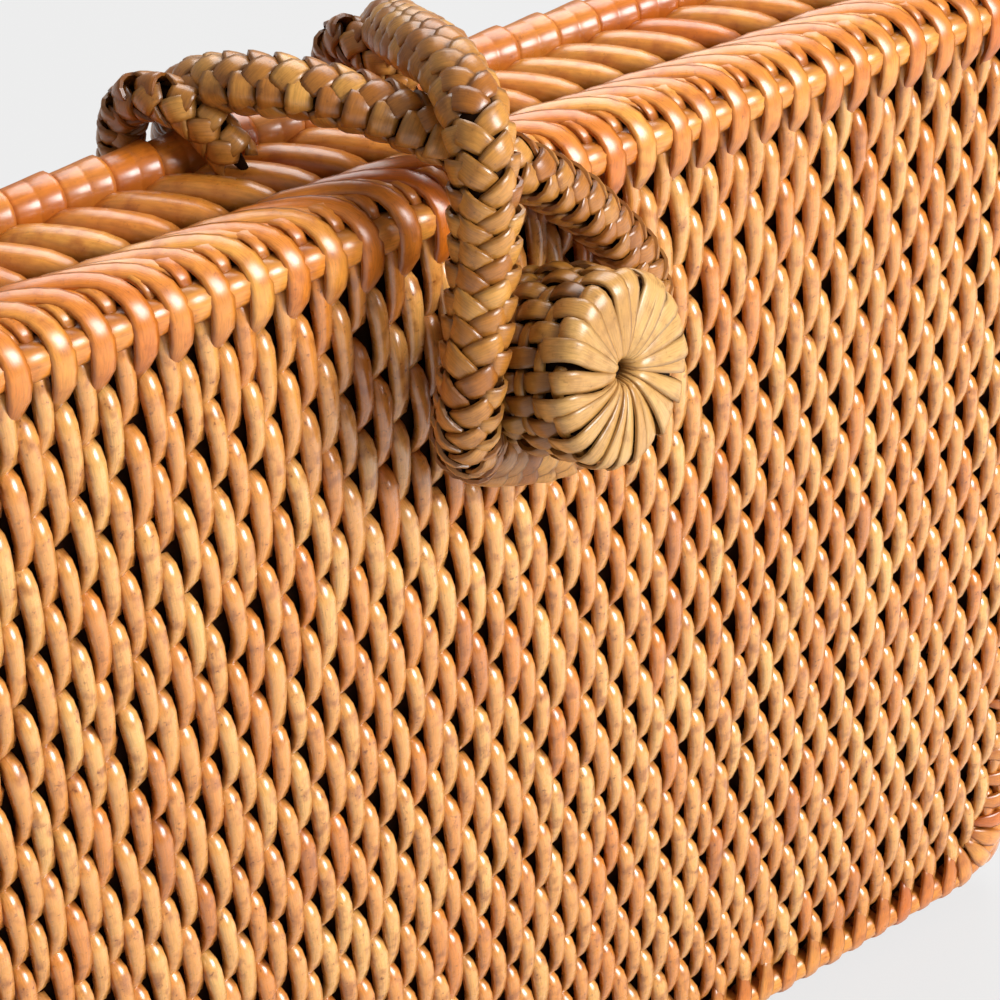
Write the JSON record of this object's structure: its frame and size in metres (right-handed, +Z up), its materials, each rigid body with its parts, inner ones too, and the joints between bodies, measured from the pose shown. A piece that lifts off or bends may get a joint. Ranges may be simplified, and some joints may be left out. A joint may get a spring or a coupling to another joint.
{
  "type": "woven box clutch bag",
  "caption": "Flat rectangular box clutch of coiled cane weave, hinged along the bottom, with a plaited barrel toggle and a plaited cord loop.",
  "frame": {"origin": "middle of the bag at the level of the surface that it stands on", "axes": "+Z up, -Y out of the front wall that carries the toggle, +X to the right seen from the front"},
  "size_m": [0.21, 0.0548, 0.169],
  "materials": {
    "cane": "varnished split cane, honey brown",
    "edge_cane": "varnished cane, darker",
    "hinge_cane_strip": "varnished cane strip",
    "plaited_cord": "plaited leaf strip, olive brown",
    "straw": "plaited straw, golden"
  },
  "bodies": {
    "back_half": {"back_shell": "cane", "back_edge_rope": "edge_cane", "left_loop_keeper": "plaited_cord", "right_loop_keeper": "plaited_cord", "left_hinge_cane": "edge_cane", "middle_hinge_cane": "edge_cane", "right_hinge_cane": "edge_cane", "left_back_strap": "hinge_cane_strip", "middle_back_strap": "hinge_cane_strip", "right_back_strap": "hinge_cane_strip"},
    "front_half": {"front_shell": "cane", "toggle_barrel": "straw", "toggle_collar": "straw", "toggle_stem": "straw", "left_front_strap": "hinge_cane_strip", "middle_front_strap": "hinge_cane_strip", "right_front_strap": "hinge_cane_strip"},
    "loop": {"closure_loop": "plaited_cord"}
  },
  "joints": [
    {"name": "front_opens", "type": "hinge", "parent": "back_half", "child": "front_half", "pos_m": [0, 0.004, 0.0024], "axis": [1, 0, 0], "range_deg": [0, 100]},
    {"name": "loop_lifts", "type": "hinge", "parent": "back_half", "child": "loop", "pos_m": [0, 0.0202, 0.14], "axis": [-1, 0, 0], "range_deg": [0, 150], "deforming": ["closure_loop"]}
  ],
  "couplings": [
    {"joint": "loop_lifts", "follows": "front_opens", "ratio": 1.5}
  ]
}
